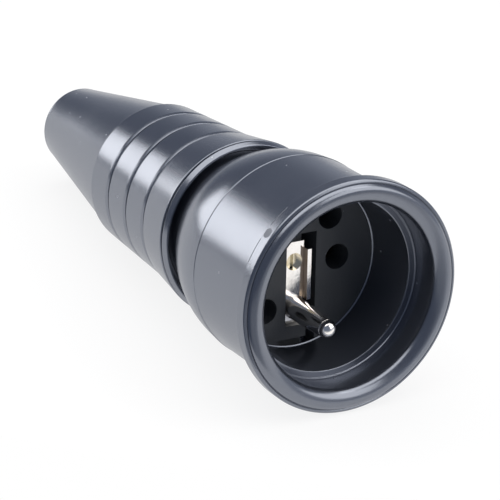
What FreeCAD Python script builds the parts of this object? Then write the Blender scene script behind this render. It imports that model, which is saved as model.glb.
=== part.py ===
"""Rubber inline socket with an earth pin: a beaded cup in front, a grooved cord sleeve behind.

Every piece is modelled about the socket's own axis. Local z is the depth behind the mouth, local y
points up, away from the earth pin, and local x points to the left as one looks into the mouth. One
placement then lays the whole socket on the table, where it rests on its lip and its rear grip band.
"""
import FreeCAD, Part
import math
import os
import Sketcher

doc = FreeCAD.newDocument("InlineSocket")
sheet = doc.addObject("Spreadsheet::Sheet", "Sizes")

# Driving sizes in millimetres, depths measured behind the mouth
SIZES = {
    # cup and lip
    "lip_radius": 25.0,
    "mouth_radius": 20.0,
    "rim_width": 0.6,
    "rim_front": 0.4,
    "lip_depth": 4.3,
    "lip_line": 0.3,
    "lip_fillet": 1.55,
    "throat_radius": 20.4,
    "step_depth": 8.7,
    "step_fall": 0.15,
    "recess_radius": 18.7,
    "recess_draft": 0.45,
    "face_depth": 22.2,
    "cup_radius": 22.65,
    "cup_fall": 0.2,
    "taper_depth": 26.2,
    "shoulder_lap": 0.6,
    "shoulder_curve": 30.0,
    "neck_radius": 16.9,
    "neck_lap": 3.9,
    "neck_wall": 2.1,
    "web_length": 3.0,
    "web_lap": 1.5,
    "rib_height": 0.45,
    "rib_setback": 4.2,
    "rib_width": 2.0,
    # cord sleeve
    "sleeve_depth": 43.5,
    "sleeve_gap": 0.7,
    "bevel": 1.3,
    "collar_radius": 19.9,
    "collar_rear_radius": 18.3,
    "grip_front_radius": 18.1,
    "grip_rear_radius": 16.6,
    "grip_depth": 56.5,
    "grip_pitch": 9.08,
    "groove_width": 0.8,
    "groove_fall": 0.75,
    "edge_line": 0.35,
    "cone_radius": 16.15,
    "total_length": 122.6,
    "cord_end_radius": 9.2,
    "cord_end_round": 1.2,
    "cord_radius": 5.5,
    "cord_bore_length": 9.0,
    "sleeve_wall": 1.7,
    # face insert
    "flange_lap": 1.1,
    "flange_thickness": 3.5,
    "insert_radius": 17.1,
    "insert_thickness": 9.4,
    "contact_spread": 9.5,
    "entry_radius": 2.8,
    "entry_depth": 6.0,
    "chamber_radius": 3.6,
    "access_x": 7.6,
    "access_y": 9.3,
    "access_radius": 2.8,
    "access_depth": 7.4,
    "pocket_top": 6.6,
    "slot_width": 2.1,
    "slot_depth": 7.0,
    "notch_height": 16.5,
    "notch_side": 4.4,
    "notch_depth": 2.2,
    # earth plate and pin
    "plate_left": 2.6,
    "plate_right": 2.3,
    "plate_top": 4.4,
    "plate_bottom": 13.6,
    "plate_thickness": 1.2,
    "plate_sink": 1.4,
    "plate_hole": 1.9,
    "flange_thick": 1.0,
    "flange_top": 2.8,
    "flange_bottom": 8.4,
    "pin_offset": 10.0,
    "pin_radius": 2.4,
    "pin_tip_radius": 1.95,
    "pin_ball_radius": 1.7,
    "pin_stem": 6.0,
    "pin_length": 14.0,
    "pin_foot_radius": 2.6,
    "pin_foot": 1.6,
    "rivet_radius": 1.6,
    "rivet_head": 0.9,
    "rivet_head_radius": 2.0,
    # contacts and terminals
    "tube_radius": 2.95,
    "tube_bore": 2.45,
    "tube_length": 15.5,
    "slit_width": 0.7,
    "slit_length": 9.0,
    "spring_setback": 0.8,
    "spring_width": 2.0,
    "spring_thick": 0.4,
    "block_side": 6.4,
    "block_length": 7.0,
    "wire_radius": 1.5,
    "wire_length": 5.6,
    "post_radius": 2.0,
    "post_slot_width": 0.8,
    "post_slot_depth": 0.6,
    # screws, bushes and nuts
    "screw_radius": 1.5,
    "head_radius": 2.4,
    "head_height": 2.0,
    "drive_width": 0.8,
    "drive_depth": 1.0,
    "bush_radius": 2.2,
    "bush_length": 6.0,
    "terminal_stand": 0.8,
    "nut_half": 2.2,
    "nut_height": 1.9,
    "nut_low": 8.9,
    # rear carrier and cord clamp
    "carrier_length": 16.4,
    "tongue_length": 17.0,
    "tongue_top": 4.5,
    "clamp_setback": 5.0,
    "clamp_length": 7.0,
    "clamp_half_width": 11.5,
    "clamp_post": 5.2,
    "clamp_seat": 1.0,
    "clamp_shoulder": 3.5,
    "clamp_top": 7.0,
    "clamp_wall": 1.2,
    "clamp_throat": 5.0,
    "clamp_screw_x": 8.8,
    # fits
    "clearance": 0.1,
}


class Size:
    """A length or an angle that keeps its number and the sheet expression behind it."""

    def __init__(self, value, text):
        self.value = value
        self.text = text

    @staticmethod
    def of(other):
        return other if isinstance(other, Size) else Size(float(other), repr(float(other)))

    def join(self, sign, other, value):
        return Size(value, f"({self.text} {sign} {other.text})")

    def __add__(self, other):
        other = Size.of(other)
        return self.join("+", other, self.value + other.value)

    def __sub__(self, other):
        other = Size.of(other)
        return self.join("-", other, self.value - other.value)

    def __mul__(self, other):
        other = Size.of(other)
        return self.join("*", other, self.value * other.value)

    def __truediv__(self, other):
        other = Size.of(other)
        return self.join("/", other, self.value / other.value)

    def __neg__(self):
        return Size(-self.value, f"(0 - {self.text})")

    __radd__ = __add__
    __rmul__ = __mul__


class Sizes:
    """The sheet's sizes as attributes."""


def root(size):
    return Size(math.sqrt(size.value), f"sqrt({size.text})")


def slope_angle(rise, run):
    return Size(math.degrees(math.atan(rise.value / run.value)), f"atan({rise.text} / {run.text})")


def sine(angle):
    return Size(math.sin(math.radians(angle.value)), f"sin({angle.text})")


def cosine(angle):
    return Size(math.cos(math.radians(angle.value)), f"cos({angle.text})")


S = Sizes()
for row, (alias, number) in enumerate(SIZES.items(), start=1):
    sheet.set(f"A{row}", alias)
    sheet.set(f"B{row}", str(number))
    sheet.setAlias(f"B{row}", alias)
    setattr(S, alias, Size(number, f"Sizes.{alias}"))
doc.recompute()

ZERO = Size.of(0)
FAR = S.lip_radius * 2


# Depths and radii that several pieces share

recess_floor_radius = S.recess_radius - S.recess_draft
flange_radius = recess_floor_radius + S.flange_lap
flange_back = S.face_depth + S.flange_thickness
insert_back = S.face_depth + S.insert_thickness
carrier_front = insert_back + S.clearance
web_back = carrier_front + S.web_length
shoulder_depth = S.sleeve_depth - S.sleeve_gap
shoulder_radius = S.neck_radius + S.shoulder_lap
neck_bore = S.neck_radius - S.neck_wall
web_radius = neck_bore - S.web_lap
carrier_back = web_back + S.carrier_length
neck_end = carrier_back + S.neck_lap
rib_front = neck_end - S.rib_setback
rib_top = rib_front + S.rib_width / 2
carrier_radius = neck_bore - S.clearance
plate_front = S.face_depth + S.plate_sink
plate_back = plate_front + S.plate_thickness
tube_front = S.face_depth + S.entry_depth + S.clearance
block_front = tube_front + S.tube_length
block_half = S.block_side / 2
terminal_depth = block_front + S.block_length / 2
screw_hole = S.screw_radius + S.clearance
thread_hole = S.screw_radius + S.clearance / 2
bush_front = carrier_back - S.bush_length
screw_seat = S.face_depth + S.access_depth
grip_length = S.grip_pitch * 3
grip_end = S.grip_depth + grip_length
groove_half = S.groove_width / 2
sleeve_bore = S.grip_rear_radius - S.sleeve_wall
clamp_front = carrier_back + S.clamp_setback
clamp_depth = clamp_front + S.clamp_length / 2
access_places = {"upper": (-S.access_x, S.access_y), "lower": (S.access_x, -S.access_y)}
contact_places = {"live": -S.contact_spread, "neutral": S.contact_spread}


def grip_radius(depth):
    """Radius of the tapering grip at a depth behind the mouth."""
    share = (depth - S.grip_depth) / grip_length
    return S.grip_front_radius - (S.grip_front_radius - S.grip_rear_radius) * share


# Resting place: the lip and the rear grip band touch the table, so the axis falls towards the cord

bead = (S.lip_radius - S.rim_width - S.mouth_radius) / 2
bead_crest = S.mouth_radius + bead
lip_touch = S.lip_depth - S.lip_line
lean = slope_angle(S.lip_radius - S.grip_rear_radius, grip_end - lip_touch)
lift = S.lip_radius * cosine(lean) + lip_touch * sine(lean)
front_reach = bead * cosine(lean) - bead_crest * sine(lean) - bead
rear_reach = ((S.total_length - S.cord_end_round) * cosine(lean)
              + (S.cord_end_radius - S.cord_end_round) * sine(lean) + S.cord_end_round)
shift = -((front_reach + rear_reach) / 2)
half_turn = Size(45.0, "45 deg") - lean / 2


def placed(x=ZERO, y=ZERO, z=ZERO, quarter_turns=0):
    """Placement of a piece that stands at x, y, z in the socket, turned about its own x axis."""
    lying = (f"placement(vector(0; {shift.text}; {lift.text}); "
             f"rotation(vector(0; {cosine(half_turn).text}; {sine(half_turn).text}); 180))")
    own = (f"placement(vector({x.text}; {y.text}; {z.text}); "
           f"rotation(vector(1; 0; 0); {90 * quarter_turns}))")
    return f"{lying} * {own}"


# Sketching helpers

def place_point(sketch, geometry, end, x, y):
    """Tie one end of a sketch line or arc to the coordinates x, y."""
    for kind, axis, size in (("DistanceX", -2, x), ("DistanceY", -1, y)):
        if size is ZERO:
            sketch.addConstraint(Sketcher.Constraint("PointOnObject", geometry, end, axis))
        else:
            rule = sketch.addConstraint(Sketcher.Constraint(kind, -1, 1, geometry, end, size.value))
            sketch.setExpression(f"Constraints[{rule}]", size.text)


def arc_between(start, end, radius):
    """Arc from start to end, turning left for a positive radius and right for a negative one."""
    first, last = (start, end) if radius > 0 else (end, start)
    chord = last - first
    rise = math.sqrt(max(radius * radius - chord.Length ** 2 / 4, 0))
    centre = (first + last) * 0.5 + FreeCAD.Vector(-chord.y, chord.x, 0) * (rise / chord.Length)
    angles = [math.atan2(point.y - centre.y, point.x - centre.x) for point in (first, last)]
    circle = Part.Circle(centre, FreeCAD.Vector(0, 0, 1), abs(radius))
    return Part.ArcOfCircle(circle, angles[0], angles[1])


def add_radius(sketch, geometry, size):
    rule = sketch.addConstraint(Sketcher.Constraint("Radius", geometry, size.value))
    sketch.setExpression(f"Constraints[{rule}]", size.text)


def add_outline(sketch, points):
    """Closed outline. A point is (x, y), or (x, y, radius) when an arc leads to it."""
    ends = [FreeCAD.Vector(point[0].value, point[1].value, 0) for point in points]
    heads = []
    tails = []
    for index, point in enumerate(points):
        before = ends[index - 1]
        left_turn = len(point) == 2 or point[2].value > 0
        if len(point) == 2:
            edge = sketch.addGeometry(Part.LineSegment(before, ends[index]), False)
        else:
            edge = sketch.addGeometry(arc_between(before, ends[index], point[2].value), False)
            add_radius(sketch, edge, point[2] if left_turn else -point[2])
        heads.append((edge, 1 if left_turn else 2))
        tails.append((edge, 2 if left_turn else 1))
    for index, point in enumerate(points):
        after = heads[(index + 1) % len(points)]
        sketch.addConstraint(Sketcher.Constraint("Coincident", *tails[index], *after))
        place_point(sketch, *tails[index], point[0], point[1])


def add_circle(sketch, x, y, radius):
    centre = FreeCAD.Vector(x.value, y.value, 0)
    edge = sketch.addGeometry(Part.Circle(centre, FreeCAD.Vector(0, 0, 1), radius.value), False)
    place_point(sketch, edge, 3, x, y)
    add_radius(sketch, edge, radius)


def box_outline(left, right, low, high):
    return [(left, low), (right, low), (right, high), (left, high)]


def new_sketch(body, role, offset=ZERO):
    sketch = body.newObject("Sketcher::SketchObject", f"{body.Label}_sketch")
    plane = next(item for item in body.Origin.OriginFeatures if item.Role == role)
    sketch.AttachmentSupport = [(plane, "")]
    sketch.MapMode = "FlatFace"
    if offset is not ZERO:
        sketch.setExpression("AttachmentOffset.Base.z", offset.text)
    return sketch


# Feature helpers

pieces = []


def new_body(label, place):
    """A piece of its own, with its label and its place in the socket."""
    body = doc.addObject("PartDesign::Body", label)
    body.Label = label
    body.setExpression("Placement", place)
    pieces.append(body)
    return body


def turn(label, place, points):
    """A new piece turned about its axis from an outline of (radius, depth) points."""
    body = new_body(label, place)
    sketch = new_sketch(body, "XZ_Plane")
    add_outline(sketch, points)
    feature = body.newObject("PartDesign::Revolution", f"{label}_turned")
    feature.Profile = sketch
    feature.ReferenceAxis = (sketch, ["V_Axis"])
    feature.Angle = 360
    doc.recompute()
    return body


def pad(body, depth, length, outline):
    """Add a block of the given outline that runs rearward from a depth."""
    sketch = new_sketch(body, "XY_Plane", depth)
    add_outline(sketch, outline)
    feature = body.newObject("PartDesign::Pad", f"{body.Label}_pad")
    feature.Profile = sketch
    feature.setExpression("Length", length.text)
    doc.recompute()


def cut(body, role, offset, length, outline=(), circles=(), backward=False):
    """Cut from a plane at offset towards that plane's positive side, or backward from it."""
    sketch = new_sketch(body, role, offset)
    if outline:
        add_outline(sketch, outline)
    for circle in circles:
        add_circle(sketch, *circle)
    before = body.Shape.Volume
    feature = body.newObject("PartDesign::Pocket", f"{body.Label}_cut")
    feature.Profile = sketch
    feature.setExpression("Length", length.text)
    feature.Reversed = not backward
    doc.recompute()
    if not body.Shape.Volume < before:
        raise RuntimeError(f"{body.Label}: a cut missed the solid")


def drill(body, depth, length, *circles):
    """Round holes that run rearward from a depth."""
    cut(body, "XY_Plane", depth, length, circles=circles)


def mill(body, depth, length, outline):
    """A pocket of any outline that runs rearward from a depth."""
    cut(body, "XY_Plane", depth, length, outline=outline)


# Rubber shells

def front_housing():
    """Cup with a rimmed and beaded lip, a stepped plug recess and a neck that enters the sleeve."""
    line = S.lip_line
    pocket = S.insert_radius + S.clearance
    body = turn("front_housing", placed(), [
        (S.mouth_radius, bead),
        (bead_crest, ZERO, bead),
        (bead_crest + bead * root(Size.of(0.75)), bead / 2, bead),
        (S.lip_radius - line, S.rim_front),
        (S.lip_radius, S.rim_front + line),
        (S.lip_radius, lip_touch),
        (S.lip_radius - line, S.lip_depth),
        (S.cup_radius + S.lip_fillet, S.lip_depth),
        (S.cup_radius, S.lip_depth + S.lip_fillet, -S.lip_fillet),
        (S.cup_radius - S.cup_fall, S.taper_depth),
        (shoulder_radius, shoulder_depth, S.shoulder_curve),
        (S.neck_radius, shoulder_depth),
        (S.neck_radius, rib_front),
        (S.neck_radius + S.rib_height, rib_top),
        (S.neck_radius, rib_front + S.rib_width),
        (S.neck_radius, neck_end),
        (neck_bore, neck_end),
        (neck_bore, web_back),
        (web_radius, web_back),
        (web_radius, carrier_front),
        (pocket, carrier_front),
        (pocket, flange_back),
        (flange_radius + S.clearance, flange_back),
        (flange_radius + S.clearance, S.face_depth),
        (recess_floor_radius, S.face_depth),
        (S.recess_radius, S.step_depth),
        (S.throat_radius, S.step_depth + S.step_fall),
    ])
    drill(body, insert_back, S.web_length * 2,
          *[(x, y, screw_hole) for x, y in access_places.values()])


def rear_sleeve():
    """Sleeve with a flared collar, three grip bands and a smooth cone down to the cord's hole."""
    seat = S.neck_radius + S.clearance
    rib_seat = seat + S.rib_height
    line_depth = S.sleeve_depth + S.bevel + S.edge_line
    outside = [
        (S.collar_radius - S.bevel, S.sleeve_depth),
        (S.collar_radius, S.sleeve_depth + S.bevel),
        (S.collar_radius - S.edge_line, line_depth),
        (S.collar_radius, line_depth + S.edge_line),
        (S.collar_rear_radius, S.grip_depth - groove_half),
    ]
    for number in range(3):
        groove = S.grip_depth + S.grip_pitch * number
        bottom = grip_radius(groove) - S.groove_fall
        front = groove + groove_half
        rear = groove + S.grip_pitch - groove_half
        if number == 2:
            rear = grip_end
        outside += [
            (bottom, groove - groove_half / 2),
            (bottom, groove + groove_half / 2),
            (grip_radius(front), front),
            (grip_radius(rear), rear),
        ]
    outside += [
        (S.cone_radius, grip_end),
        (S.cord_end_radius, S.total_length - S.cord_end_round),
        (S.cord_end_radius - S.cord_end_round, S.total_length, S.cord_end_round),
    ]
    inside = [
        (S.cord_radius, S.total_length),
        (S.cord_radius, S.total_length - S.cord_bore_length),
        (sleeve_bore, grip_end - S.sleeve_wall),
        (sleeve_bore, neck_end),
        (seat, neck_end),
        (seat, rib_front + S.rib_width),
        (rib_seat, rib_top),
        (seat, rib_front),
        (seat, S.sleeve_depth),
    ]
    turn("rear_sleeve", placed(), outside + inside)


# Face insert and the earth pieces in it

def socket_insert():
    """Face disc with contact and screw holes, a pocket for the earth plate and a slot beside it."""
    gap = S.clearance
    body = turn("socket_insert", placed(), [
        (ZERO, S.face_depth),
        (flange_radius, S.face_depth),
        (flange_radius, flange_back),
        (S.insert_radius, flange_back),
        (S.insert_radius, insert_back),
        (ZERO, insert_back),
    ])
    contacts = contact_places.values()
    screws = access_places.values()
    drill(body, S.face_depth, S.insert_thickness, *[(x, ZERO, S.entry_radius) for x in contacts])
    drill(body, S.face_depth + S.entry_depth, S.insert_thickness,
          *[(x, ZERO, S.chamber_radius) for x in contacts])
    drill(body, S.face_depth, S.access_depth, *[(x, y, S.access_radius) for x, y in screws])
    drill(body, screw_seat, S.insert_thickness, *[(x, y, screw_hole) for x, y in screws])
    mill(body, S.face_depth, S.plate_sink + S.plate_thickness,
         box_outline(-S.plate_right, S.plate_left + gap, -(S.plate_bottom + gap), S.pocket_top))
    mill(body, S.face_depth, S.slot_depth,
         box_outline(-(S.plate_right + S.slot_width), -S.plate_right, -FAR, S.pocket_top))
    mill(body, S.face_depth, S.notch_depth,
         box_outline(-S.plate_right, S.notch_side, -FAR, -S.notch_height))
    drill(body, plate_back, S.insert_thickness, (ZERO, ZERO, S.post_radius + gap))
    drill(body, plate_back, S.rivet_head + gap,
          (ZERO, -S.pin_offset, S.rivet_head_radius + gap))


def earth_plate():
    """Strip with a round hole, a rivet hole for the pin and an upright flange in the slot."""
    body = new_body("earth_plate", placed())
    pad(body, plate_front, S.plate_thickness,
        box_outline(-S.plate_right, S.plate_left, -S.plate_bottom, S.plate_top))
    pad(body, S.face_depth, S.plate_sink + S.plate_thickness,
        box_outline(-(S.plate_right + S.flange_thick), -S.plate_right,
                    -S.flange_bottom, S.flange_top))
    drill(body, plate_front, S.plate_thickness,
          (ZERO, ZERO, S.plate_hole), (ZERO, -S.pin_offset, S.rivet_radius))


def earth_pin():
    """Turned pin with a flared foot on the plate, a stem, a domed tip and a riveted tail."""
    foot = plate_front - S.pin_foot
    tip = S.face_depth - S.pin_length
    ball = S.pin_ball_radius
    turn("earth_pin", placed(y=-S.pin_offset), [
        (ZERO, tip),
        (ball, tip + ball, ball),
        (S.pin_tip_radius, tip + S.pin_tip_radius),
        (S.pin_radius, S.face_depth - S.pin_stem),
        (S.pin_radius, foot),
        (S.pin_foot_radius, plate_front),
        (S.rivet_radius, plate_front),
        (S.rivet_radius, plate_back),
        (S.rivet_head_radius, plate_back),
        (S.rivet_head_radius, plate_back + S.rivet_head),
        (ZERO, plate_back + S.rivet_head),
    ])


# Contacts and terminals

def terminal_block(body, side):
    """Square block with a wire hole from behind and a threaded hole from above or from below."""
    pad(body, block_front, S.block_length,
        box_outline(-block_half, block_half, -block_half, block_half))
    drill(body, block_front + S.block_length - S.wire_length, S.wire_length,
          (ZERO, ZERO, S.wire_radius))
    cut(body, "XZ_Plane", ZERO, FAR, circles=[(ZERO, terminal_depth, thread_hole)],
        backward=side > 0)


def terminal_screw(name, x, side):
    """Screw of one terminal, its head above (side 1) or below (side -1) the block."""
    head = block_half + S.terminal_stand + S.head_height
    place = placed(x, head * side, terminal_depth, side)
    headed_screw(f"{name}_terminal_screw", place, head - S.wire_radius)


def contact_tube(name, x, side):
    """Slit brass tube for one plug pin, with a spring ring round it and a terminal behind."""
    body = turn(f"{name}_contact", placed(x), [
        (S.tube_bore, tube_front),
        (S.tube_radius, tube_front),
        (S.tube_radius, block_front),
        (S.tube_bore, block_front),
    ])
    half = S.slit_width / 2
    mill(body, tube_front, S.slit_length, box_outline(-half, half, -block_half, block_half))
    terminal_block(body, side)
    inner = S.tube_radius + S.clearance / 2
    front = tube_front + S.spring_setback
    turn(f"{name}_spring", placed(x), [
        (inner, front),
        (inner + S.spring_thick, front),
        (inner + S.spring_thick, front + S.spring_width),
        (inner, front + S.spring_width),
    ])
    terminal_screw(name, x, side)


def earth_post():
    """Brass post behind the plate, slotted at its front end, with the earth terminal behind."""
    body = turn("earth_post", placed(), [
        (ZERO, plate_back),
        (S.post_radius, plate_back),
        (S.post_radius, block_front),
        (ZERO, block_front),
    ])
    half = S.post_slot_width / 2
    mill(body, plate_back, S.post_slot_depth, box_outline(-half, half, -FAR, FAR))
    terminal_block(body, 1)
    terminal_screw("earth", ZERO, 1)


# Screws, bushes and nuts, each drawn with its head or front end at its own origin

def headed_screw(label, place, length):
    """Cheese-head screw with a driver slot."""
    body = turn(label, place, [
        (ZERO, ZERO),
        (S.head_radius, ZERO),
        (S.head_radius, S.head_height),
        (S.screw_radius, S.head_height),
        (S.screw_radius, length),
        (ZERO, length),
    ])
    half = S.drive_width / 2
    mill(body, ZERO, S.drive_depth, box_outline(-half, half, -FAR, FAR))


def fixing_screw(name, x, y):
    """Screw through the insert and the housing's web into a bush in the carrier."""
    front = screw_seat - S.head_height
    headed_screw(f"fixing_screw_{name}", placed(x, y, front), carrier_back - front)
    turn(f"fixing_bush_{name}", placed(x, y, bush_front), [
        (thread_hole, ZERO),
        (S.bush_radius, ZERO),
        (S.bush_radius, S.bush_length),
        (thread_hole, S.bush_length),
    ])


def clamp_fastener(name, x):
    """Screw down through the clamp bar and the square nut that it draws up."""
    head = S.clamp_shoulder + S.head_height
    headed_screw(f"clamp_screw_{name}", placed(x, head, clamp_depth, 1), head + S.nut_low)
    half = S.nut_half
    body = new_body(f"clamp_nut_{name}", placed(x, -S.nut_low, clamp_depth, -1))
    pad(body, ZERO, S.nut_height, box_outline(-half, half, -half, half))
    drill(body, ZERO, S.nut_height, (ZERO, ZERO, thread_hole))


# Rear carrier and cord clamp

def terminal_carrier():
    """Plastic body behind the web, with terminal pockets, screw bushes and the clamp's tongue."""
    gap = S.clearance
    body = turn("terminal_carrier", placed(), [
        (ZERO, carrier_front),
        (web_radius - gap, carrier_front),
        (web_radius - gap, web_back),
        (carrier_radius, web_back),
        (carrier_radius, carrier_back),
        (ZERO, carrier_back),
    ])
    edge = root(carrier_radius * carrier_radius - S.tongue_top * S.tongue_top)
    pad(body, carrier_back, S.tongue_length,
        [(-edge, -S.tongue_top), (edge, -S.tongue_top, carrier_radius)])
    outer = S.clamp_half_width
    inner = outer - S.clamp_post
    low = -(S.tongue_top + S.clamp_seat)
    pad(body, clamp_front, S.clamp_length, box_outline(inner, outer, low, -S.clamp_seat))
    pad(body, clamp_front, S.clamp_length, box_outline(-outer, -inner, low, -S.clamp_seat))
    drill(body, carrier_back, S.tongue_length, (ZERO, ZERO, S.clamp_throat))
    drill(body, carrier_front, carrier_back, (ZERO, ZERO, S.post_radius + gap),
          *[(x, ZERO, S.tube_radius + gap) for x in contact_places.values()])
    drill(body, carrier_front, carrier_back,
          *[(x, y, screw_hole) for x, y in access_places.values()])
    drill(body, bush_front, S.bush_length,
          *[(x, y, S.bush_radius) for x, y in access_places.values()])
    half = block_half + gap
    for x, side in ((contact_places["live"], -1), (contact_places["neutral"], 1), (ZERO, 1)):
        low, high = (-half, FAR) if side > 0 else (-FAR, half)
        mill(body, block_front, carrier_back - block_front, box_outline(x - half, x + half, low, high))
    screws = [S.clamp_screw_x, -S.clamp_screw_x]
    cut(body, "XZ_Plane", ZERO, FAR, circles=[(x, clamp_depth, screw_hole) for x in screws])
    half = S.nut_half + gap
    for x in screws:
        cut(body, "XZ_Plane", S.nut_low - S.nut_height, FAR,
            outline=box_outline(x - half, x + half, clamp_depth - half, clamp_depth + half))


def clamp_bar():
    """Arched bar that holds the cord down on the carrier's tongue."""
    outer = S.clamp_half_width
    arch = S.clamp_throat + S.clamp_wall
    body = new_body("clamp_bar", placed())
    pad(body, clamp_front, S.clamp_length, [
        (-outer, -S.clamp_seat),
        (outer, -S.clamp_seat),
        (outer, S.clamp_shoulder),
        (arch, S.clamp_shoulder),
        (arch, S.clamp_top),
        (-arch, S.clamp_top),
        (-arch, S.clamp_shoulder),
        (-outer, S.clamp_shoulder),
    ])
    drill(body, clamp_front, S.clamp_length, (ZERO, ZERO, S.clamp_throat))
    screws = [S.clamp_screw_x, -S.clamp_screw_x]
    cut(body, "XZ_Plane", -S.clamp_top, FAR, circles=[(x, clamp_depth, screw_hole) for x in screws])


front_housing()
rear_sleeve()
socket_insert()
earth_plate()
earth_pin()
earth_post()
contact_tube("live", contact_places["live"], -1)
contact_tube("neutral", contact_places["neutral"], 1)
for name, (x, y) in access_places.items():
    fixing_screw(name, x, y)
terminal_carrier()
clamp_bar()
clamp_fastener("left", S.clamp_screw_x)
clamp_fastener("right", -S.clamp_screw_x)

# Check and write

doc.recompute()
for item in doc.Objects:
    if "Invalid" in item.State or "Error" in item.State:
        raise RuntimeError(f"{item.Label} did not compute: {item.State}")
os.makedirs("parts", exist_ok=True)
for body in pieces:
    shape = body.Shape
    if shape.isNull() or not shape.isValid() or len(shape.Solids) != 1:
        raise RuntimeError(f"{body.Label} is not one sound solid")
    shape.exportStep(f"parts/{body.Label}.step")
    print(body.Label, round(shape.Volume, 1))
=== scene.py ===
# %% [markdown]
# # A black rubber inline socket
# The socket is the receiving half of a rubber coupler for an extension lead. A cup with a thick beaded
# lip takes the plug, an earth pin stands inside it, and a grooved sleeve behind it tapers down to the
# hole for the cord. This lesson dresses the solid model: it redraws the turned rubber shells with soft
# edges, gives every piece its finish, and lights it as a small product on a white table.

# %% Load the solid model
from math import atan, cos, degrees, dist, pi, radians, sin, tau
import bmesh
import bpy
from mathutils import Matrix, Vector


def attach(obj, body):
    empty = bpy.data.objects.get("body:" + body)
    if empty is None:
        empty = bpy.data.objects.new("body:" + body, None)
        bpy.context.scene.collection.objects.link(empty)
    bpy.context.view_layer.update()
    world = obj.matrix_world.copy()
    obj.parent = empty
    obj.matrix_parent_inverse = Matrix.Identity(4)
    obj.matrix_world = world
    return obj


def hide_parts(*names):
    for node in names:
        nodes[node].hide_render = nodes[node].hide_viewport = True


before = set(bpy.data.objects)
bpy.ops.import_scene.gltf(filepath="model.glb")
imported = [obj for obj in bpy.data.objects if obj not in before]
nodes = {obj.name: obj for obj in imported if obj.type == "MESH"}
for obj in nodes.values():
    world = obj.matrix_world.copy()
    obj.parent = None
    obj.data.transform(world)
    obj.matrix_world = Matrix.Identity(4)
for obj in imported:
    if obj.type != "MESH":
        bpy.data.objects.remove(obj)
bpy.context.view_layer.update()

# %% [markdown]
# The socket lies on its lip and on the rear edge of its grip, so its own axis falls a little towards
# the cord. Every turned piece is drawn upright about Z, in millimetres behind the mouth, and one matrix
# lays it down at the real size. Its columns are the socket's left, up and rearward directions. The
# middle of the length stands over the origin, so the reach of both rounded ends is worked out first.

# %% The socket's resting place
MM = 0.001
LIP_RADIUS = 25.0
LIP_REST = 4.0
GRIP_REAR = 83.74
GRIP_REAR_RADIUS = 16.6
BEAD_ROUND = 2.2
BEAD_ROUND_RADIUS = 22.2
END_ROUND = 1.2
END_ROUND_DEPTH = 121.4
END_ROUND_RADIUS = 8.0

LEAN = atan((LIP_RADIUS - GRIP_REAR_RADIUS) / (GRIP_REAR - LIP_REST))
LIFT = LIP_RADIUS * cos(LEAN) + LIP_REST * sin(LEAN)
FRONT = BEAD_ROUND * cos(LEAN) - BEAD_ROUND_RADIUS * sin(LEAN) - BEAD_ROUND
REAR = END_ROUND_DEPTH * cos(LEAN) + END_ROUND_RADIUS * sin(LEAN) + END_ROUND
SHIFT = -(FRONT + REAR) / 2
LYING = Matrix.Scale(MM, 4) @ Matrix((
    (-1, 0, 0, 0),
    (0, sin(LEAN), cos(LEAN), SHIFT),
    (0, cos(LEAN), -sin(LEAN), LIFT),
    (0, 0, 0, 1),
))
print("the axis falls by", round(degrees(LEAN), 2), "degrees")

# %% [markdown]
# A lathe is the natural tool for a round shell: draw half of its section once and turn it. The section
# starts as a wire of a few corners. A vertex bevel rounds each corner while it is still a wire, which
# costs almost nothing, and a full spin then sweeps the rounded wire into a closed shell. Smooth shading
# would bend a long straight stretch, so a point near each of its ends holds the shading flat.

# %% A lathe for rounded sections
LONG_STRETCH = 1.0
HELD_MARGIN = 0.12
HELD_BEVELS = 1.6
HELD_GAP = 0.2
MERGE = 0.002
SHARP_ANGLE = radians(35)


def keep(name, mesh, replaced):
    """Link a finished mesh as a piece that stands for the named solids."""
    piece = bpy.data.objects.new(name, mesh)
    bpy.context.scene.collection.objects.link(piece)
    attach(piece, "root")
    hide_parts(*replaced)
    print(name, "has", len(mesh.polygons), "faces")
    return piece


def round_corners(bm, corners, softness):
    """Round each corner of a wire by its own softness, largest first."""
    for size in sorted(set(softness), reverse=True):
        chosen = [vert for vert, soft in zip(corners, softness) if soft == size and size > 0]
        if chosen:
            bmesh.ops.bevel(bm, geom=chosen, offset=size, offset_type="OFFSET", profile=0.5,
                            segments=max(4, int(size * 8)), affect="VERTICES", material=-1)


def held(section):
    """Add a point near both ends of each long stretch, so that its shading stays flat between them."""
    points = []
    for first, last in zip(section, section[1:] + section[:1]):
        points.append(first)
        length = dist(first[:2], last[:2])
        margins = (first[2] * HELD_BEVELS + HELD_MARGIN, length - last[2] * HELD_BEVELS - HELD_MARGIN)
        if length > LONG_STRETCH and margins[0] + HELD_GAP < margins[1]:
            points += [(first[0] + (last[0] - first[0]) * margin / length,
                        first[1] + (last[1] - first[1]) * margin / length, 0) for margin in margins]
    return points


def arc(centre, across, along, turns):
    """Points of a round stretch about a (radius, depth) centre, one for each turn in degrees."""
    return [(centre[0] + across * cos(radians(turn)), centre[1] + along * sin(radians(turn)), 0)
            for turn in turns]


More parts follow.
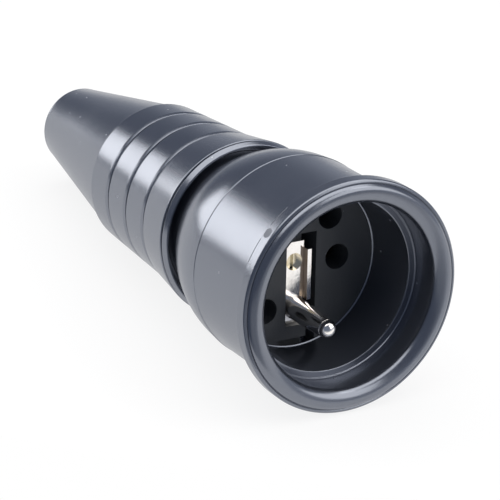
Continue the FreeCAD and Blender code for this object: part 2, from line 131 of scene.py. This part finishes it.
def turned(name, section, replaced, steps=256, centre=(0, 0)):
    """Spin a section of (radius, depth, softness) corners about an axis beside the socket's own."""
    bm = bmesh.new()
    section = held(section)
    corners = [bm.verts.new((radius, 0, depth)) for radius, depth, soft in section]
    for first, last in zip(corners, corners[1:] + corners[:1]):
        bm.edges.new((first, last))
    round_corners(bm, corners, [soft for radius, depth, soft in section])
    bmesh.ops.spin(bm, geom=bm.verts[:] + bm.edges[:], cent=(0, 0, 0), axis=(0, 0, 1), angle=tau,
                   steps=steps, use_merge=True)
    bmesh.ops.remove_doubles(bm, verts=bm.verts, dist=MERGE)
    bmesh.ops.translate(bm, vec=(centre[0], centre[1], 0), verts=bm.verts)
    bmesh.ops.recalc_face_normals(bm, faces=bm.faces)
    bmesh.ops.transform(bm, matrix=LYING, verts=bm.verts)
    mesh = bpy.data.meshes.new(name)
    bm.to_mesh(mesh)
    bm.free()
    mesh.shade_smooth()
    mesh.set_sharp_from_angle(angle=SHARP_ANGLE)
    return keep(name, mesh, replaced)


# %% [markdown]
# The cup is one moulding. Its lip is a rounded bead inside a thin rim, with a groove between them and
# an undercut behind the rim. A fine mould line runs round the barrel, and the rear closes in as an arch
# on the neck that enters the sleeve. Inside there is a throat, a step and the recess for the plug, then
# the seats for the insert and the web that carries it.

# %% Cup with its beaded lip
BEAD_TOP = (22.75, BEAD_ROUND)
BEAD_HEIGHT = 2.14
BEAD_INNER_WIDTH = 2.75
BEAD_OUTER_WIDTH = 1.65
ARCH_CENTRE = (-7.58, 26.2)
ARCH_RADIUS = 30.0
NECK_FRONT = 42.8
NECK_END = 55.0
NECK_RADIUS = 16.9
NECK_BORE = 14.8
RIDGE_DEPTH = 51.8
RIDGE_HALF = 1.0
RIDGE_HEIGHT = 0.45
WEB_FRONT = 31.7
WEB_BACK = 34.7
WEB_HOLE = 13.3
POCKET_RADIUS = 17.2
FLANGE_RADIUS = 19.45
FLANGE_BACK = 25.7
FACE_DEPTH = 22.2
RECESS_END_RADIUS = 17.95
STEP_DEPTH = 8.8


def ridge(radius):
    """The ridge round the neck, or the groove of the sleeve that takes it, from front to rear."""
    return [(radius, RIDGE_DEPTH - RIDGE_HALF, 0), (radius + RIDGE_HEIGHT, RIDGE_DEPTH, 0),
            (radius, RIDGE_DEPTH + RIDGE_HALF, 0)]


bead = arc(BEAD_TOP, -BEAD_INNER_WIDTH, -BEAD_HEIGHT, range(0, 90, 5))
bead += arc(BEAD_TOP, -BEAD_OUTER_WIDTH, -BEAD_HEIGHT, range(90, 151, 5))
rim = [
    (24.2, 1.14, 0.03), (24.4, 0.98, 0.08), (LIP_RADIUS, 1.2, 0.3), (LIP_RADIUS, 4.08, 0.12),
    (24.35, 4.25, 0.1), (24.1, 4.45, 0.1),
]
barrel = [(22.64, 5.0, 0.7), (22.5, 25.85, 0.03), (22.6, 26.0, 0.04), (22.42, 26.2, 0.03)]
arch = arc(ARCH_CENTRE, ARCH_RADIUS, ARCH_RADIUS, range(1, 33))
neck = [
    (17.5, NECK_FRONT, 0.3), (NECK_RADIUS, NECK_FRONT, 0.1), *ridge(NECK_RADIUS),
    (NECK_RADIUS, NECK_END, 0.4), (NECK_BORE, NECK_END, 0.4), (NECK_BORE, WEB_BACK, 0),
]
seats = [
    (WEB_HOLE, WEB_BACK, 0), (WEB_HOLE, WEB_FRONT, 0), (POCKET_RADIUS, WEB_FRONT, 0),
    (POCKET_RADIUS, FLANGE_BACK, 0), (FLANGE_RADIUS, FLANGE_BACK, 0), (FLANGE_RADIUS, FACE_DEPTH, 0),
]
recess = [
    (RECESS_END_RADIUS, FACE_DEPTH, 0), (RECESS_END_RADIUS, 22.0, 0.1), (18.25, 21.9, 0),
    (18.7, STEP_DEPTH, 0.18), (20.05, STEP_DEPTH, 0.05), (20.2, 8.55, 0.1), (20.4, 8.65, 0.03),
]
cup = turned("cup_shell", bead + rim + barrel + arch + neck + seats + recess,
             ["front_housing"])

# %% [markdown]
# The sleeve is a second moulding, pushed over the neck. The collar ends in a thin lip that leaves a
# dark gap round the neck, and a fine line is cut behind the lip. Narrow grooves part the grip into
# bands, each eased at its front edge, and behind the last band a smooth cone closes in on the cord.

# %% Grooved cord sleeve
GRIP_FRONT = 56.5
GRIP_FRONT_RADIUS = 18.1
BANDS = 3
BAND_PITCH = (GRIP_REAR - GRIP_FRONT) / BANDS
GROOVE_WIDTH = 0.4
GROOVE_FLOOR = 0.15
GROOVE_DROP = 0.75
BAND_EASE = 1.2
GAP_RADIUS = 18.75
GAP_FLOOR = 47.2
SEAT_RADIUS = 17.0
SLEEVE_BORE = 14.9
END_DEPTH = 122.6
END_RADIUS = 9.2
CORD_RADIUS = 5.5


def grip_radius(depth):
    """Radius of the grip, which tapers evenly from its first groove to its rear edge."""
    taper = (GRIP_FRONT_RADIUS - GRIP_REAR_RADIUS) / (GRIP_REAR - GRIP_FRONT)
    return GRIP_FRONT_RADIUS - taper * (depth - GRIP_FRONT)


collar = [
    (GAP_RADIUS, 43.6, 0.15), (19.25, 43.55, 0.15), (19.7, 45.0, 0.1), (19.2, 45.1, 0.02),
    (19.2, 45.4, 0.02), (19.85, 45.45, 0.25), (18.3, 56.1, 0.45),
]
grip = []
for band in range(BANDS):
    groove = GRIP_FRONT + BAND_PITCH * band
    rear = GRIP_REAR if band == BANDS - 1 else groove + BAND_PITCH - GROOVE_WIDTH
    bottom = grip_radius(groove) - GROOVE_DROP
    eased = groove + BAND_EASE
    grip += [
        (bottom, groove - GROOVE_FLOOR, 0.05), (bottom, groove + GROOVE_FLOOR, 0.05),
        (grip_radius(groove) - 0.2, groove + 0.25, 0.08), (grip_radius(eased), eased, 0.1),
        (grip_radius(rear), rear, 0.3),
    ]
cone = [
    (16.15, GRIP_REAR, 0.1), (END_RADIUS, END_ROUND_DEPTH, 0), (END_RADIUS, END_DEPTH, 1.1),
    (CORD_RADIUS, END_DEPTH, 0.4), (CORD_RADIUS, 113.6, 0), (SLEEVE_BORE, 82.04, 0),
]
seat = [
    (SLEEVE_BORE, NECK_END, 0), (SEAT_RADIUS, NECK_END, 0), *reversed(ridge(SEAT_RADIUS)),
    (SEAT_RADIUS, GAP_FLOOR, 0), (GAP_RADIUS, GAP_FLOOR, 0.2),
]
sleeve = turned("sleeve_shell", collar + grip + cone + seat, ["rear_sleeve"])

# %% [markdown]
# The earth pin is turned from bar and plated. Its tip is a low dome on a small shoulder, its stem swells
# towards the face, and a flared foot seats it on the plate. It stands ten millimetres under the middle.

# %% Earth pin
PIN_DROP = 10.0
DOME_CENTRE = (0.0, 9.8)
DOME_RADIUS = 1.9
DOME_HEIGHT = 1.6
STEM_RADIUS = 2.4
FOOT_RADIUS = 2.6
PLATE_FRONT = 23.6
PLATE_BACK = 24.8
RIVET_RADIUS = 1.6
RIVET_HEAD_RADIUS = 2.0
RIVET_END = 25.7

dome = arc(DOME_CENTRE, DOME_RADIUS, DOME_HEIGHT, range(-90, 1, 6))
stem = [
    (DOME_RADIUS, 10.05, 0.03), (1.98, 10.12, 0.05), (STEM_RADIUS, 16.2, 1.5), (STEM_RADIUS, 22.0, 0.3),
    (FOOT_RADIUS, PLATE_FRONT, 0),
]
rivet = [
    (RIVET_RADIUS, PLATE_FRONT, 0), (RIVET_RADIUS, PLATE_BACK, 0), (RIVET_HEAD_RADIUS, PLATE_BACK, 0),
    (RIVET_HEAD_RADIUS, RIVET_END, 0), (0.0, RIVET_END, 0),
]
pin = turned("pin_turned", dome + stem + rivet, ["earth_pin"], steps=96,
             centre=(0, -PIN_DROP))

# %% [markdown]
# Shader maths reads best as plain arithmetic. `Value` wraps one output socket, and its operators add
# Math nodes, so a mask can be written as a formula. `Finish` owns a material and has a single method
# for every other kind of node.

# %% Materials as formulas
BUMP_DISTANCE = 0.2 * MM


class Value:
    """An output socket of a finish, with Python's operators as Math nodes."""

    def __init__(self, finish, socket):
        self.finish = finish
        self.socket = socket

    def math(self, operation, first, last):
        return self.finish.node("ShaderNodeMath", {"operation": operation}, {0: first, 1: last})

    def __add__(self, other):
        return self.math("ADD", self, other)

    def __sub__(self, other):
        return self.math("SUBTRACT", self, other)

    def __rsub__(self, other):
        return self.math("SUBTRACT", other, self)

    def __mul__(self, other):
        return self.math("MULTIPLY", self, other)

    def __lt__(self, other):
        return self.math("LESS_THAN", self, other)

    __radd__ = __add__
    __rmul__ = __mul__

    def within(self, low, high, soft):
        """1 between low and high, falling to 0 over a soft margin on both sides."""
        rise = self.finish.ramp(self, low - soft, low + soft)
        return rise * self.finish.ramp(self, high + soft, high - soft)


class Finish:
    """The nodes of a material or of the surroundings, made one by one."""

    def __init__(self, owner):
        owner.use_nodes = True
        self.owner = owner
        self.tree = owner.node_tree
        self.tree.nodes.clear()

    def node(self, kind, settings=None, sockets=None, output=0):
        """Make a node, give it its settings, then the values or links of its sockets."""
        made = self.tree.nodes.new(kind)
        for key, setting in (settings or {}).items():
            setattr(made, key, setting)
        for key, given in (sockets or {}).items():
            if isinstance(given, Value):
                self.tree.links.new(given.socket, made.inputs[key])
            else:
                made.inputs[key].default_value = given
        return Value(self, made.outputs[output]) if made.outputs else None

    def ramp(self, value, low, high):
        """0 at low and 1 at high, smoothed between them."""
        return self.node("ShaderNodeMapRange", {"interpolation_type": "SMOOTHSTEP"},
                         {"Value": value, "From Min": low, "From Max": high})

    def place(self):
        return self.node("ShaderNodeTexCoord", output="Object")

    def along_axis(self):
        """Object coordinates turned so that Y is the depth behind the mouth and Z points up."""
        depth = (SHIFT * cos(LEAN) - LIFT * sin(LEAN)) * MM
        height = (SHIFT * sin(LEAN) + LIFT * cos(LEAN)) * MM
        return self.node("ShaderNodeMapping", None, {
            "Vector": self.place(), "Rotation": (LEAN, 0, 0), "Location": (0, -depth, -height)})

    def axes(self, vector):
        split = self.node("ShaderNodeSeparateXYZ", None, {0: vector}).socket.node
        return [Value(self, socket) for socket in split.outputs]

    def noise(self, vector, scale, detail, roughness=0.5):
        return self.node("ShaderNodeTexNoise", None, {
            "Vector": vector, "Scale": scale, "Detail": detail, "Roughness": roughness})

    def mix(self, factor, first, last):
        mixed = self.node("ShaderNodeMix", {"data_type": "RGBA"}, {0: factor, 6: first, 7: last})
        return Value(self, mixed.socket.node.outputs[2])

    def bump(self, height, strength):
        return self.node("ShaderNodeBump", None, {
            "Height": height, "Strength": strength, "Distance": BUMP_DISTANCE})

    def surface(self, **sockets):
        shader = self.node("ShaderNodeBsdfPrincipled", None,
                           {key.replace("_", " "): given for key, given in sockets.items()})
        self.node("ShaderNodeOutputMaterial", None, {"Surface": shader})
        print(self.owner.name, "uses", len(self.tree.nodes), "nodes")
        return self.owner


# %% [markdown]
# Dust on black rubber shows as pale specks of a few tenths of a millimetre. A Voronoi texture gives
# one point per cell; only some cells are let through, so the specks look scattered and not woven.

# %% Dust specks
def specks(finish, place, scale, size, share):
    """1 on a soft round speck in a share of the texture's cells, its size in parts of a cell."""
    cells = finish.node("ShaderNodeTexVoronoi", None, {"Vector": place, "Scale": scale})
    chance = finish.axes(Value(finish, cells.socket.node.outputs["Color"]))[0]
    near = finish.ramp(cells, size * 1.3, size * 0.5)
    return near * (chance < share)


# %% [markdown]
# High on the left the rim is marked by a dull spot a couple of millimetres wide. At the rim's rear edge
# the shade of the gap behind it is painted as a dark line that opens over two short stretches. Both are
# masks in the socket's own directions.

# %% A dull spot and a painted shadow on the rim
# Where the painted shadow of the gap behind the rim lies: its depths, its two stretches and its soft
# edges.
SEAM_DEPTHS = (0.0038, 0.0044)
SEAM_STRETCHES = ((0.0108, 0.0152), (0.0178, 0.0207))
SEAM_EDGE = 0.00004
STRETCH_EDGE = 0.0002
SPOT_PLACE = (-0.01875, 0.0031, 0.01653)
SPOT_RADIUS = 0.00095
SPOT_EDGE_RADIUS = 0.00115


def rim_spot_and_seam_shadow(finish):
    """Masks of the painted shadow at the rim's rear edge and of the dull spot."""
    axes = finish.axes(finish.along_axis())
    across, depth, up = axes
    lower, upper = [up.within(low, high, STRETCH_EDGE) for low, high in SEAM_STRETCHES]
    seam_shadow = depth.within(*SEAM_DEPTHS, SEAM_EDGE) * (across < 0.0) * (lower + upper)
    offsets = [axis - place for axis, place in zip(axes, SPOT_PLACE)]
    spread = offsets[0] * offsets[0] + offsets[1] * offsets[1] + offsets[2] * offsets[2]
    return seam_shadow, finish.ramp(spread, SPOT_EDGE_RADIUS ** 2, SPOT_RADIUS ** 2)


# %% [markdown]
# The shells are black rubber with a satin skin. Handling has polished it unevenly, so the roughness
# drifts over a few centimetres, and a very fine grain breaks up the sharpest reflections.

# %% Black rubber
DEEP_RUBBER = (0.024, 0.027, 0.036, 1)
WORN_RUBBER = (0.038, 0.042, 0.054, 1)
RUBBER_DUST = (0.42, 0.43, 0.45, 1)
DULL_SPOT = (0.11, 0.113, 0.122, 1)
# Painted shadow: the near-black colour that stands for the gap's shade at the rim's rear edge.
PAINTED_SEAM_SHADOW = (0.004, 0.004, 0.005, 1)
GREY_SHEEN = (0.82, 0.87, 1.0, 1.0)
RUBBER_IOR = 2.8


def rubber(name):
    finish = Finish(bpy.data.materials.new(name))
    place = finish.place()
    drift = finish.noise(place, scale=38.0, detail=3.0)
    smear = finish.noise(place, scale=160.0, detail=4.0, roughness=0.6)
    grain = finish.noise(place, scale=2600.0, detail=2.0)
    dust = specks(finish, place, scale=220.0, size=0.045, share=0.5)
    seam_shadow, spot = rim_spot_and_seam_shadow(finish)
    shade = finish.mix(drift, DEEP_RUBBER, WORN_RUBBER)
    shade = finish.mix(dust * 0.75, shade, RUBBER_DUST)
    shade = finish.mix(spot, shade, DULL_SPOT)
    # Painted shadow: the gap behind the rim is darkened into the base colour, and its gloss is dulled.
    shade = finish.mix(seam_shadow, shade, PAINTED_SEAM_SHADOW)
    gloss = 0.15 + drift * 0.1 + smear * 0.06 + dust * 0.3 + spot * 0.5 + seam_shadow * 0.6
    normal = finish.bump(grain + smear * 0.3, strength=0.03)
    return finish.surface(Base_Color=shade, Roughness=gloss, Normal=normal, IOR=RUBBER_IOR,
                          Specular_Tint=GREY_SHEEN)


cup.data.materials.append(rubber("rubber_cup"))
sleeve.data.materials.append(rubber("rubber_sleeve"))

# %% [markdown]
# The insert, the carrier behind it and the clamp's bar are moulded in black plastic, duller than the
# rubber. These pieces keep the solid model's own meshes, so a finish only takes the old one's place.

# %% Black moulded plastic
DEEP_PLASTIC = (0.06, 0.064, 0.07, 1)
PALE_PLASTIC = (0.08, 0.085, 0.092, 1)
PLASTIC_DUST = (0.3, 0.31, 0.33, 1)
PLASTIC_IOR = 1.5


def moulded(name):
    finish = Finish(bpy.data.materials.new(name))
    place = finish.place()
    cloud = finish.noise(place, scale=90.0, detail=3.0)
    grain = finish.noise(place, scale=1800.0, detail=3.0)
    dust = specks(finish, place, scale=300.0, size=0.04, share=0.25)
    shade = finish.mix(cloud, DEEP_PLASTIC, PALE_PLASTIC)
    shade = finish.mix(dust * 0.5, shade, PLASTIC_DUST)
    normal = finish.bump(grain, strength=0.12)
    return finish.surface(Base_Color=shade, Roughness=0.36 + cloud * 0.14, Normal=normal, IOR=PLASTIC_IOR)


def dress(material, *names):
    """Give a finish to the named solids."""
    for name in names:
        solid = nodes[name].data
        solid.materials.clear()
        solid.materials.append(material)


dress(moulded("moulded_plastic"), "socket_insert", "terminal_carrier", "clamp_bar")

# %% [markdown]
# The earth plate and the pin are nickel plated: a warm bright metal with fine drawing lines. The post
# and the bushes are raw brass, the contacts are very dark brass, and the screws, springs and nuts are
# dulled steel. Where the plate bends up into its flange, the shade and dark reflection inside the bend
# are painted into the metal as a dull brown strip. That mask is a narrow strip across X, the same for
# every metal, so a sliver of this painted shade also lies on the pin's right flank.

# %% Metals
# Painted shade inside the plate's bend: where its strip lies across X, and its dull brown colour.
BEND_SIDES = (0.00222, 0.00238)
BEND_EDGE = 0.00003
PAINTED_BEND_SHADE = (0.36, 0.28, 0.21, 1)
EVEN = (1, 1, 1)
DRAWN = (1, 0.25, 1)


def metal(name, pale, dark, rough, lines=EVEN):
    finish = Finish(bpy.data.materials.new(name))
    place = finish.place()
    stretched = finish.node("ShaderNodeMapping", None, {"Vector": place, "Scale": lines})
    streak = finish.noise(stretched, scale=900.0, detail=3.0)
    tarnish = finish.noise(place, scale=220.0, detail=3.0, roughness=0.6)
    # Painted shade: a dull brown strip for the shade and dark reflection inside the plate's bend.
    painted_bend_shade = finish.axes(place)[0].within(*BEND_SIDES, BEND_EDGE)
    shade = finish.mix(finish.ramp(tarnish, 0.35, 0.75), pale, dark)
    shade = finish.mix(painted_bend_shade, shade, PAINTED_BEND_SHADE)
    normal = finish.bump(streak, strength=0.06)
    return finish.surface(Base_Color=shade, Metallic=1.0, Normal=normal,
                          Roughness=rough + streak * 0.1 + tarnish * 0.05 + painted_bend_shade * 0.3)


nickel = metal("nickel_plating", (0.98, 0.95, 0.92, 1), (0.9, 0.86, 0.82, 1), rough=0.05, lines=DRAWN)
brass = metal("raw_brass", (1.0, 0.9, 0.68, 1), (0.96, 0.78, 0.48, 1), rough=0.16)
steel = metal("dull_steel", (0.2, 0.2, 0.21, 1), (0.1, 0.1, 0.1, 1), rough=0.35)
dark_brass = metal("dark_brass", (0.1, 0.07, 0.03, 1), (0.05, 0.035, 0.02, 1), rough=0.4)
pin.data.materials.append(nickel)
dress(nickel, "earth_plate")
dress(brass, "earth_post", "fixing_bush_upper", "fixing_bush_lower")
dress(dark_brass, "live_contact", "neutral_contact")
dress(steel, *[name for name in nodes if "screw" in name or "spring" in name or "nut" in name])

# %% [markdown]
# The photograph shows a white sweep. A square of floor a metre wide does the same: what the camera and
# shiny surfaces see of it is mostly plain white, and the rest is a lit white surface that takes the
# shadow. It reaches mainly behind the socket and to its right.

# %% White floor
WHITE = (1, 1, 1, 1)
FLOOR_PAINT = (0.9, 0.9, 0.9, 1)
FLOOR_WHITENESS = 0.85
FLOOR_HALF = 0.5
FLOOR_PLACE = Matrix.Translation((0.30, 0.30, 0)) @ Matrix.Rotation(radians(-40), 4, "Z")


def seen_directly(finish):
    """1 for rays from the camera, from a reflection or through glass."""
    paths = finish.node("ShaderNodeLightPath").socket.node
    rays = [Value(finish, paths.outputs[name])
            for name in ("Is Camera Ray", "Is Glossy Ray", "Is Transmission Ray")]
    return rays[0].math("MINIMUM", rays[0] + rays[1] + rays[2], 1.0)


sweep = Finish(bpy.data.materials.new("white_sweep"))
lit = sweep.node("ShaderNodeBsdfDiffuse", None, {"Color": FLOOR_PAINT})
bright = sweep.node("ShaderNodeEmission", None, {"Color": WHITE, "Strength": 1.0})
share = seen_directly(sweep) * FLOOR_WHITENESS
covering = sweep.node("ShaderNodeMixShader", None, {0: share, 1: lit, 2: bright})
sweep.node("ShaderNodeOutputMaterial", None, {"Surface": covering})

bm = bmesh.new()
bmesh.ops.create_grid(bm, x_segments=1, y_segments=1, size=FLOOR_HALF, matrix=FLOOR_PLACE)
floor_mesh = bpy.data.meshes.new("floor")
bm.to_mesh(floor_mesh)
bm.free()
floor_mesh.materials.append(sweep.owner)
floor = bpy.data.objects.new("floor", floor_mesh)
bpy.context.scene.collection.objects.link(floor)
print("the floor has", len(floor_mesh.polygons), "face")

# %% [markdown]
# Black rubber shows mostly what it mirrors. The camera sees white surroundings, and everything else
# sees a dim bluish room that is paler low on the right and below the horizon in front.

# %% Surroundings
DIM_ROOM = (0.13, 0.155, 0.21, 1)
PALE_SIDE = (0.46, 0.49, 0.56, 1)
LOW_FRONT = (0.4, 0.42, 0.46, 1)

world = bpy.data.worlds.new("studio")
bpy.context.scene.world = world
sky = Finish(world)
right, rearward, upward = sky.axes(sky.node("ShaderNodeTexCoord", output="Generated"))
camera_ray = sky.node("ShaderNodeLightPath", output="Is Camera Ray")
low_right = sky.ramp(right, 0.0, 0.5) * sky.ramp(upward, 0.4, 0.1)
low_front = sky.ramp(rearward, -0.3, -0.7) * sky.ramp(upward, 0.0, -0.2)
room = sky.mix(low_right, DIM_ROOM, PALE_SIDE)
room = sky.mix(low_front, room, LOW_FRONT)
shown = sky.mix(camera_ray, room, WHITE)
backdrop = sky.node("ShaderNodeBackground", None, {"Color": shown, "Strength": 1.0})
sky.node("ShaderNodeOutputWorld", None, {"Surface": backdrop})
print("the surroundings use", len(sky.tree.nodes), "nodes")

# %% [markdown]
# A soft box behind the socket to the left draws the bright band along its side. The main light is a
# broad one straight overhead, a little towards the cord. A third one in front on the right reaches into
# the cup. A box is given by its radiance, so a larger one lights more without looking brighter.

# %% Soft boxes
LAMP_TINT = (1.0, 0.98, 0.94)


def soft_box(name, place, target, width, height, radiance):
    """An area light of the given radiance, turned to face a point."""
    data = bpy.data.lights.new(name, "AREA")
    data.shape = "RECTANGLE"
    data.size = width
    data.size_y = height
    data.energy = radiance * pi * width * height
    data.color = LAMP_TINT
    light = bpy.data.objects.new(name, data)
    light.location = place
    aim = Vector(target) - light.location
    light.rotation_euler = aim.to_track_quat("-Z", "Y").to_euler()
    bpy.context.scene.collection.objects.link(light)
    print(name, "gives", round(data.energy, 2), "watts")


soft_box("rear_left_box", (-0.58, 1.00, 0.29), (0, -0.02, 0.03), width=0.70, height=0.50, radiance=3.6)
soft_box("overhead_box", (0.00, 0.12, 1.00), (0, 0, 0.02), width=1.7, height=1.35, radiance=2.2)
soft_box("front_box", (0.75, -0.85, 0.80), (0, -0.03, 0.02), width=1.2, height=1.0, radiance=2.0)

# %% [markdown]
# The camera stands two thirds of a metre away with a long lens, above the mouth and to its left, as in
# the photograph. Its place was found by fitting the lip, the step and the grooves to their ellipses.

# %% Camera
lens = bpy.data.cameras.new("camera")
lens.sensor_width = 36.0
lens.lens = 216.0
lens.clip_start = 0.05
lens.clip_end = 20.0
camera = bpy.data.objects.new("camera", lens)
camera.location = (-0.3008783, -0.506154, 0.2988961)
camera.rotation_euler = (radians(63.74177), radians(-4.02991), radians(-29.71294))
bpy.context.scene.collection.objects.link(camera)
bpy.context.scene.camera = camera
bpy.context.scene.view_settings.view_transform = "Standard"
print("camera at", [round(value, 3) for value in camera.location])
